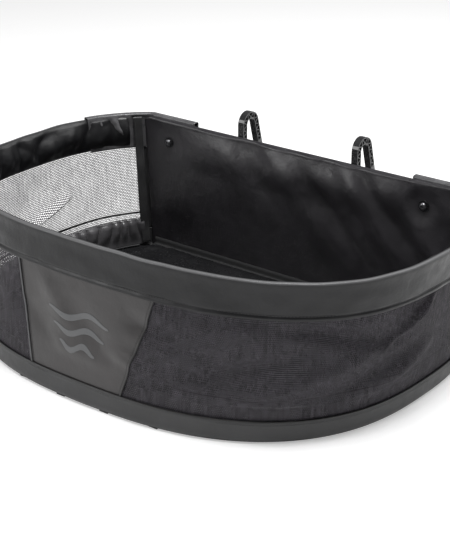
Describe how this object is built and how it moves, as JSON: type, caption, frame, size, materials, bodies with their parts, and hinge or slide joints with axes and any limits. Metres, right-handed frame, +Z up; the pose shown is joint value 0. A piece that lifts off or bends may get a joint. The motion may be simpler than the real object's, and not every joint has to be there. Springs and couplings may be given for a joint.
{
  "type": "stripping basket",
  "caption": "D-shaped open basket of mesh and coated fabric with a stiff back panel, a hooped rim, rail hooks and a hinged floor insert.",
  "frame": {"origin": "centre of the bounding box's underside, on the surface the basket stands on", "axes": "+X along the back panel towards its right end as seen from the front, +Y to the back where the hooks are, +Z up"},
  "size_m": [0.7436, 0.534, 0.2559],
  "materials": {
    "vinyl": "coated woven fabric, satin, fine grain",
    "vinyl_inside": "coated woven fabric, satin, smooth side",
    "floor_vinyl": "coated fabric, glossy",
    "mesh": "open polyester mesh, matt",
    "webbing": "woven binding tape, matt",
    "piping": "piping cord, satin",
    "hoop_strip": "extruded strip, satin",
    "board": "extruded sheet, satin, fine grain",
    "hook_plastic": "moulded, glossy",
    "rubber": "matt",
    "print": "heat-pressed film, satin",
    "steel": "black-coated steel, glossy"
  },
  "bodies": {
    "basket": {"rim_hoop": "hoop_strip", "rim_sleeve": "vinyl", "corner_patch_left": "vinyl", "corner_patch_right": "vinyl", "mesh_wall_left": "mesh", "mesh_wall_right": "mesh", "front_panel": "vinyl", "front_piping_left": "piping", "front_piping_right": "piping", "base_band": "vinyl", "base_band_back": "vinyl", "inner_band": "vinyl_inside", "emblem_wave_1": "print", "emblem_wave_2": "print", "emblem_wave_3": "print", "back_cover_inner": "vinyl_inside", "back_board": "board", "back_cover_outer": "vinyl", "corner_binding_left": "webbing", "corner_binding_right": "webbing", "corner_seam_left": "vinyl", "corner_seam_right": "vinyl", "floor_cloth": "floor_vinyl", "floor_piping": "piping", "panel_piping": "piping", "floor_runner_1": "rubber", "floor_runner_2": "rubber", "floor_runner_3": "rubber", "floor_runner_4": "rubber", "panel_hinge_strip": "webbing", "hook_left": "hook_plastic", "hook_right": "hook_plastic", "hook_screw_left_inner": "steel", "hook_screw_left_outer": "steel", "hook_screw_right_inner": "steel", "hook_screw_right_outer": "steel", "corner_bolt_left": "steel", "corner_bolt_right": "steel", "bolt_washer_left_inner": "steel", "bolt_washer_left_outer": "steel", "bolt_washer_right_inner": "steel", "bolt_washer_right_outer": "steel", "corner_nut_left": "steel", "corner_nut_right": "steel"},
    "floor_insert": {"floor_board": "board", "board_hinge_strip": "webbing"}
  },
  "joints": [
    {"name": "floor_insert_lift", "type": "hinge", "parent": "basket", "child": "floor_insert", "pos_m": [0, 0.20176, 0.0054], "axis": [-1, 0, 0], "range_deg": [0, 55]}
  ]
}
